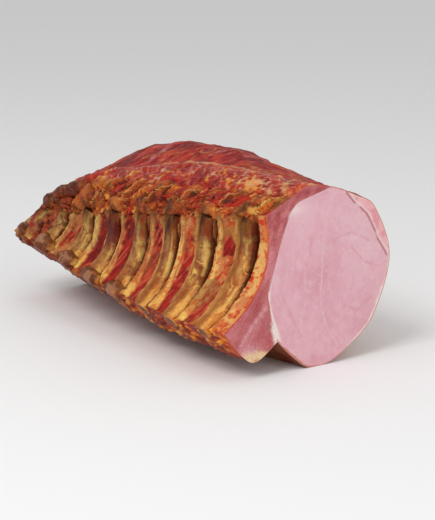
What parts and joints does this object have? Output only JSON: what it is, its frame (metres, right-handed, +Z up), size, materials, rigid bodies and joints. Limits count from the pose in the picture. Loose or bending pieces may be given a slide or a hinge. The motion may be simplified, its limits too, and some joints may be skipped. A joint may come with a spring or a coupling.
{
  "type": "smoked bone-in pork loin",
  "caption": "Uncut length of smoked pork loin on the bone: arched ribs along one side, sawn backbone on top, and one fresh pink cut face.",
  "frame": {"origin": "middle of the bounding box's underside, on the surface that the loin rests on", "axes": "+X along the loin towards the fresh cut face, the rib side looks to -Y, +Z up"},
  "size_m": [0.222, 0.1134, 0.1008],
  "materials": {
    "eye_meat": "moist pale pink cut muscle with a red-brown smoked outside",
    "cap_meat": "moist darker pink cut muscle with a red-brown smoked outside",
    "rib_side_meat": "smoked red meat with orange and yellow fat",
    "rib_bone": "smooth ochre rib bone under a dry smoked skin",
    "chine_bone": "sawn brown backbone with yellow rims"
  },
  "bodies": {
    "root": {"loin_eye": "eye_meat", "cap_muscle": "cap_meat", "rib_meat": "rib_side_meat", "rib_1": "rib_bone", "rib_2": "rib_bone", "rib_3": "rib_bone", "rib_4": "rib_bone", "rib_5": "rib_bone", "rib_6": "rib_bone", "rib_7": "rib_bone", "rib_8": "rib_bone", "vertebra_1": "chine_bone", "vertebra_2": "chine_bone", "vertebra_3": "chine_bone", "vertebra_4": "chine_bone", "vertebra_5": "chine_bone", "vertebra_6": "chine_bone", "vertebra_7": "chine_bone", "vertebra_8": "chine_bone"}
  },
  "joints": []
}
